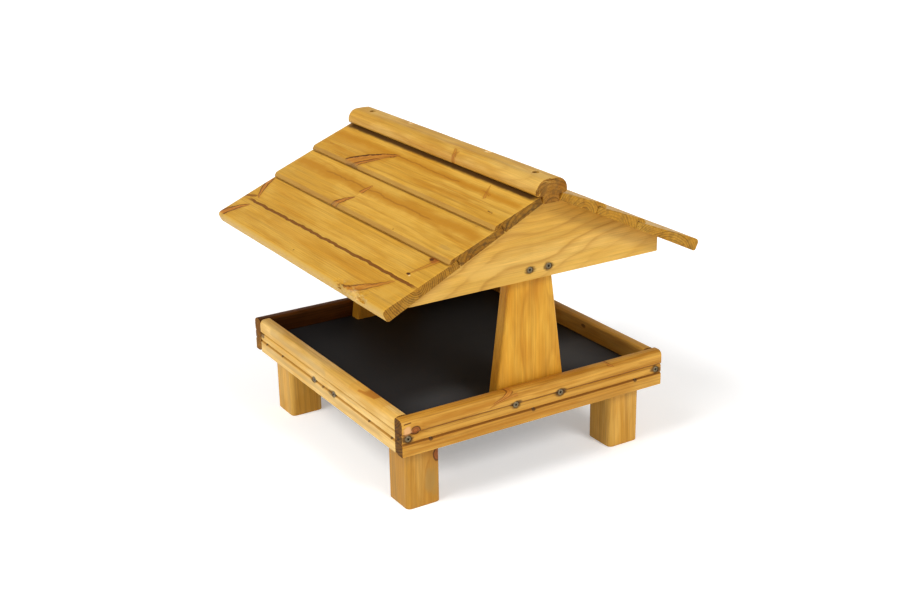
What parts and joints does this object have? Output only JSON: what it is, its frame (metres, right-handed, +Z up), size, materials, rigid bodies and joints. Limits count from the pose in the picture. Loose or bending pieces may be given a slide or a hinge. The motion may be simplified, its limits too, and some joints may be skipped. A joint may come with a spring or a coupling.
{
  "type": "bird table",
  "caption": "Wooden bird table: railed feeding tray on short square feet, upright boards and gables carrying a lapped board roof with a ridge cap.",
  "frame": {"origin": "centre of the footprint, at the level the feet stand on", "axes": "+Z up, ridge along Y, eaves face -X and +X, front gable faces -Y"},
  "size_m": [0.4322, 0.44, 0.381],
  "materials": {
    "stained_pine": "honey-coloured stain on planed pine, grain and knots showing",
    "light_pine": "lighter stained planed pine with arched grain",
    "raw_pine": "untreated sawn pine",
    "film_board": "smooth black resin film on plywood, satin",
    "screw_steel": "yellow zinc plated",
    "nail_steel": "dull bright steel"
  },
  "bodies": {
    "root": {"front_rail": "stained_pine", "back_rail": "stained_pine", "left_rail": "stained_pine", "right_rail": "stained_pine", "foot_front_left": "stained_pine", "foot_front_right": "stained_pine", "foot_back_left": "stained_pine", "foot_back_right": "stained_pine", "front_upright": "stained_pine", "back_upright": "stained_pine", "roof_board_left_upper": "stained_pine", "roof_board_left_middle": "stained_pine", "roof_board_left_lower": "stained_pine", "roof_board_right_upper": "stained_pine", "roof_board_right_middle": "stained_pine", "roof_board_right_lower": "stained_pine", "ridge_cap": "stained_pine", "front_gable": "light_pine", "back_gable": "light_pine", "floor_batten_left": "raw_pine", "floor_batten_right": "raw_pine", "floor_panel": "film_board", "gable_screws": "screw_steel", "upright_screws": "screw_steel", "corner_screws": "screw_steel", "floor_screws": "screw_steel", "foot_screws": "screw_steel", "batten_screws": "screw_steel", "ridge_screws": "screw_steel", "roof_nails": "nail_steel", "floor_pins": "nail_steel"}
  },
  "joints": []
}
